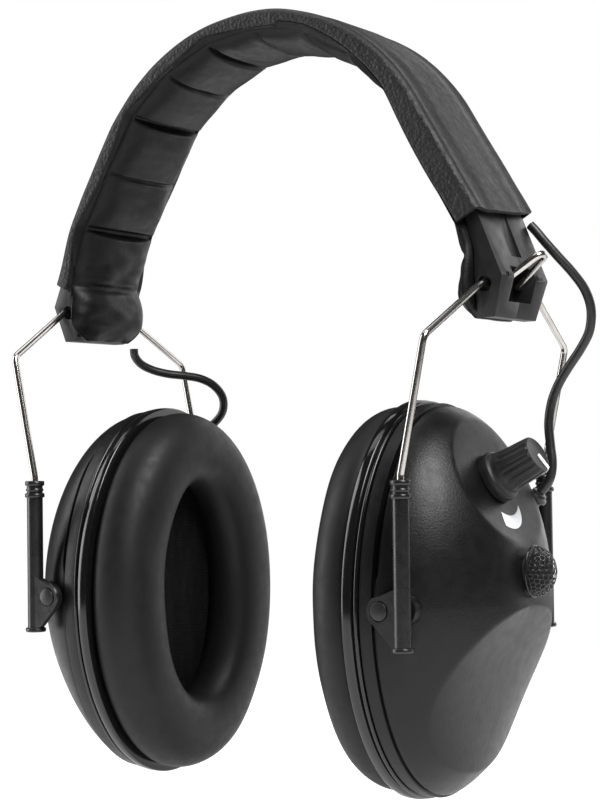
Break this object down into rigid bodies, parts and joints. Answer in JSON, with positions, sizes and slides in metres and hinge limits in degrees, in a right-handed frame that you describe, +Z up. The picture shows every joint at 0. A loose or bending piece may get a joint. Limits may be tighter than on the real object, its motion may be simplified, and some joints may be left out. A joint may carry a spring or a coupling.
{
  "type": "folding earmuff hearing protector",
  "caption": "Over-the-head earmuff hearing protector: padded headband, folding wire yokes, sliding and tilting ear cups, volume knob, wire-mesh microphones.",
  "frame": {"origin": "underside of the head pad at the crown, where the wearer's head carries the muff", "axes": "+X towards the cup with the volume knob (the wearer's side), -Y towards the front, +Z up out of the top of the head"},
  "size_m": [0.1759, 0.088, 0.2269],
  "materials": {
    "leathercloth": "pebbled synthetic leather, satin",
    "foam": "soft foam sheet",
    "spring_steel": "plain steel",
    "bright_wire": "bright drawn spring wire",
    "pad_skin": "smooth synthetic leather, quilted",
    "cushion_skin": "soft smooth vinyl skin",
    "liner_cloth": "dark ribbed cloth over foam",
    "block_plastic": "satin moulded plastic",
    "slider_plastic": "semi-gloss moulded plastic",
    "shell_plastic": "fine textured moulded plastic",
    "ring_plastic": "gloss moulded plastic",
    "inner_plastic": "plain moulded plastic",
    "component_dark": "dark component body",
    "black_mesh": "black painted wire mesh",
    "circuit_board": "solder-masked board",
    "knob_plastic": "matt soft-touch plastic",
    "white_mark": "white inlay",
    "cell_wrap": "printed cell sleeve without lettering",
    "cable_rubber": "smooth cable sheath"
  },
  "bodies": {
    "headband": {"band_cover": "leathercloth", "band_foam": "foam", "band_spring": "spring_steel", "band_pad": "pad_skin", "band_lead": "cable_rubber", "right_block_front": "block_plastic", "right_block_rear": "block_plastic", "left_block_front": "block_plastic", "left_block_rear": "block_plastic", "right_cable": "cable_rubber", "left_cable": "cable_rubber"},
    "right_yoke": {"right_wire": "bright_wire"},
    "left_yoke": {"left_wire": "bright_wire"},
    "right_sliders": {"right_tube_front": "slider_plastic", "right_tube_rear": "slider_plastic", "right_pins": "slider_plastic"},
    "left_sliders": {"left_tube_front": "slider_plastic", "left_tube_rear": "slider_plastic", "left_pins": "slider_plastic"},
    "right_cup": {"right_shell": "shell_plastic", "right_ring": "ring_plastic", "right_cushion": "cushion_skin", "right_foam": "liner_cloth", "right_baffle": "inner_plastic", "right_screws": "spring_steel", "right_speaker": "component_dark", "right_mic": "component_dark", "right_mic_mesh": "black_mesh", "right_gland": "cable_rubber", "right_circuit": "circuit_board", "potentiometer": "component_dark"},
    "left_cup": {"left_shell": "shell_plastic", "left_ring": "ring_plastic", "left_cushion": "cushion_skin", "left_foam": "liner_cloth", "left_baffle": "inner_plastic", "left_screws": "spring_steel", "left_speaker": "component_dark", "left_mic": "component_dark", "left_mic_mesh": "black_mesh", "left_gland": "cable_rubber", "battery_box": "inner_plastic", "battery_cells": "cell_wrap"},
    "volume_knob": {"volume_knob": "knob_plastic", "knob_pointer": "white_mark", "knob_shaft": "spring_steel"},
    "battery_cover": {"battery_cover": "shell_plastic"}
  },
  "joints": [
    {"name": "right_fold", "type": "hinge", "parent": "headband", "child": "right_yoke", "pos_m": [0.0741, 0, -0.0735], "axis": [0, 1, 0], "range_deg": [0, 23], "deforming": ["right_cable"]},
    {"name": "right_height", "type": "slide", "parent": "right_yoke", "child": "right_sliders", "axis": [0, 0, -1], "range_m": [0, 0.022]},
    {"name": "right_tilt", "type": "hinge", "parent": "right_sliders", "child": "right_cup", "pos_m": [0.0575, 0, -0.16], "axis": [0, 1, 0], "range_deg": [-12, 12]},
    {"name": "left_fold", "type": "hinge", "parent": "headband", "child": "left_yoke", "pos_m": [-0.0741, 0, -0.0735], "axis": [0, 1, 0], "range_deg": [-23, 0], "deforming": ["left_cable"]},
    {"name": "left_height", "type": "slide", "parent": "left_yoke", "child": "left_sliders", "axis": [0, 0, -1], "range_m": [0, 0.022]},
    {"name": "left_tilt", "type": "hinge", "parent": "left_sliders", "child": "left_cup", "pos_m": [-0.0575, 0, -0.16], "axis": [0, 1, 0], "range_deg": [-12, 12]},
    {"name": "volume_turn", "type": "hinge", "parent": "right_cup", "child": "volume_knob", "pos_m": [0.0693, 0, -0.1263], "axis": [0.891, 0, 0.454], "range_deg": [-300, 0]},
    {"name": "battery_cover_off", "type": "slide", "parent": "left_cup", "child": "battery_cover", "axis": [-1, 0, 0], "range_m": [0, 0.015]}
  ]
}
